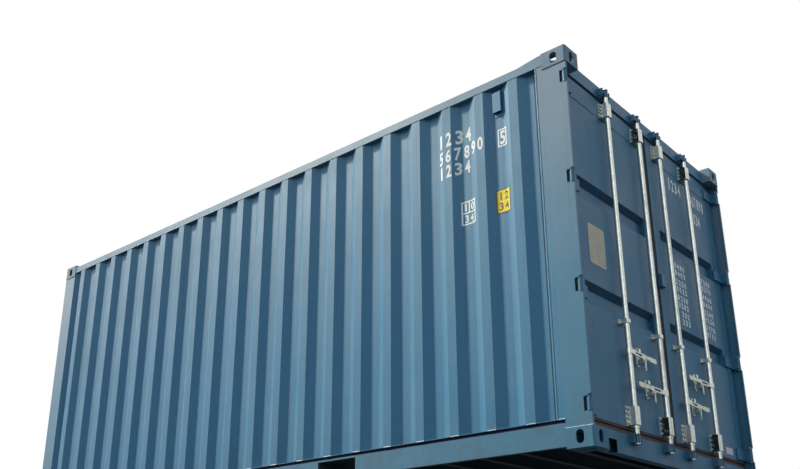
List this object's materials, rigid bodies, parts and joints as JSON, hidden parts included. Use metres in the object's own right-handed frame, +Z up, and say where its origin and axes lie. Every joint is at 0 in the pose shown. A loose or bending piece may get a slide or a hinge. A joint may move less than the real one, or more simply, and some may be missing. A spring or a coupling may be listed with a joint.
{
  "type": "dry freight container",
  "caption": "Corrugated steel freight container in pale blue paint, with corner castings, fork pockets and a pair of hinged rear doors locked by upright bars.",
  "frame": {"origin": "middle of the footprint, level with the bottom faces of the bottom corner fittings", "axes": "+X along the length towards the doors, +Y across to the right as seen facing the doors, +Z up"},
  "size_m": [6.058, 2.438, 2.591],
  "materials": {
    "body_paint": "satin",
    "fitting_paint": "satin",
    "door_paint": "satin",
    "base_paint": "matte",
    "zinc": "satin",
    "gasket_rubber": "matte",
    "floor_wood": "matte"
  },
  "bodies": {
    "box": {"fitting_front_left_bottom": "fitting_paint", "fitting_front_right_bottom": "fitting_paint", "fitting_rear_left_bottom": "fitting_paint", "fitting_rear_right_bottom": "fitting_paint", "fitting_front_left_top": "fitting_paint", "fitting_front_right_top": "fitting_paint", "fitting_rear_left_top": "fitting_paint", "fitting_rear_right_top": "fitting_paint", "front_post_left": "body_paint", "front_post_right": "body_paint", "rear_post_left": "body_paint", "rear_post_right": "body_paint", "bottom_rail_left": "body_paint", "bottom_rail_right": "body_paint", "top_rail_left": "body_paint", "top_rail_right": "body_paint", "front_sill": "body_paint", "front_header": "body_paint", "front_wall": "body_paint", "door_sill": "body_paint", "door_header": "body_paint", "side_wall_left": "body_paint", "side_wall_right": "body_paint", "roof": "body_paint", "floor_boards": "floor_wood", "cross_members": "base_paint", "fork_pocket_front": "base_paint", "fork_pocket_rear": "base_paint", "hinge_lugs_left": "body_paint", "hinge_lugs_right": "body_paint", "bar_keepers": "fitting_paint", "vent_left": "body_paint", "vent_right": "body_paint"},
    "door_left": {"door_frame_left": "door_paint", "door_panel_left": "door_paint", "door_gasket_left": "gasket_rubber", "bar_guides_left": "zinc"},
    "door_right": {"door_frame_right": "door_paint", "door_panel_right": "door_paint", "door_gasket_right": "gasket_rubber", "bar_guides_right": "zinc"},
    "bar_1": {"bar_1": "zinc"},
    "handle_1": {"handle_1": "zinc"},
    "catch_1": {"catch_1": "zinc"},
    "bar_2": {"bar_2": "zinc"},
    "handle_2": {"handle_2": "zinc"},
    "catch_2": {"catch_2": "zinc"},
    "bar_3": {"bar_3": "zinc"},
    "handle_3": {"handle_3": "zinc"},
    "catch_3": {"catch_3": "zinc"},
    "bar_4": {"bar_4": "zinc"},
    "handle_4": {"handle_4": "zinc"},
    "catch_4": {"catch_4": "zinc"}
  },
  "joints": [
    {"name": "door_left_hinge", "type": "hinge", "parent": "box", "child": "door_left", "pos_m": [3.006, -1.196, 1.306], "axis": [0, 0, -1], "range_deg": [0, 265]},
    {"name": "door_right_hinge", "type": "hinge", "parent": "box", "child": "door_right", "pos_m": [3.006, 1.196, 1.306], "axis": [0, 0, 1], "range_deg": [0, 265]},
    {"name": "bar_1_turn", "type": "hinge", "parent": "door_left", "child": "bar_1", "pos_m": [2.992, -0.626, 1.31], "axis": [0, 0, 1], "range_deg": [-100, 0]},
    {"name": "bar_2_turn", "type": "hinge", "parent": "door_left", "child": "bar_2", "pos_m": [2.992, -0.164, 1.31], "axis": [0, 0, -1], "range_deg": [-100, 0]},
    {"name": "bar_3_turn", "type": "hinge", "parent": "door_right", "child": "bar_3", "pos_m": [2.992, 0.164, 1.31], "axis": [0, 0, 1], "range_deg": [-100, 0]},
    {"name": "bar_4_turn", "type": "hinge", "parent": "door_right", "child": "bar_4", "pos_m": [2.992, 0.626, 1.31], "axis": [0, 0, -1], "range_deg": [-100, 0]},
    {"name": "handle_1_lift", "type": "hinge", "parent": "bar_1", "child": "handle_1", "pos_m": [2.992, -0.588, 0.672], "axis": [1, 0, 0], "range_deg": [0, 30]},
    {"name": "handle_2_lift", "type": "hinge", "parent": "bar_2", "child": "handle_2", "pos_m": [2.992, -0.202, 0.48], "axis": [-1, 0, 0], "range_deg": [0, 25]},
    {"name": "handle_3_lift", "type": "hinge", "parent": "bar_3", "child": "handle_3", "pos_m": [2.992, 0.202, 0.48], "axis": [1, 0, 0], "range_deg": [0, 25]},
    {"name": "handle_4_lift", "type": "hinge", "parent": "bar_4", "child": "handle_4", "pos_m": [2.992, 0.588, 0.672], "axis": [-1, 0, 0], "range_deg": [0, 30]},
    {"name": "catch_1_swing", "type": "hinge", "parent": "door_left", "child": "catch_1", "pos_m": [3.0055, -0.441, 0.6395], "axis": [1, 0, 0], "range_deg": [0, 170]},
    {"name": "catch_2_swing", "type": "hinge", "parent": "door_left", "child": "catch_2", "pos_m": [3.0055, -0.349, 0.4475], "axis": [1, 0, 0], "range_deg": [0, 170]},
    {"name": "catch_3_swing", "type": "hinge", "parent": "door_right", "child": "catch_3", "pos_m": [3.0055, 0.349, 0.4475], "axis": [1, 0, 0], "range_deg": [0, 170]},
    {"name": "catch_4_swing", "type": "hinge", "parent": "door_right", "child": "catch_4", "pos_m": [3.0055, 0.441, 0.6395], "axis": [1, 0, 0], "range_deg": [0, 170]}
  ]
}
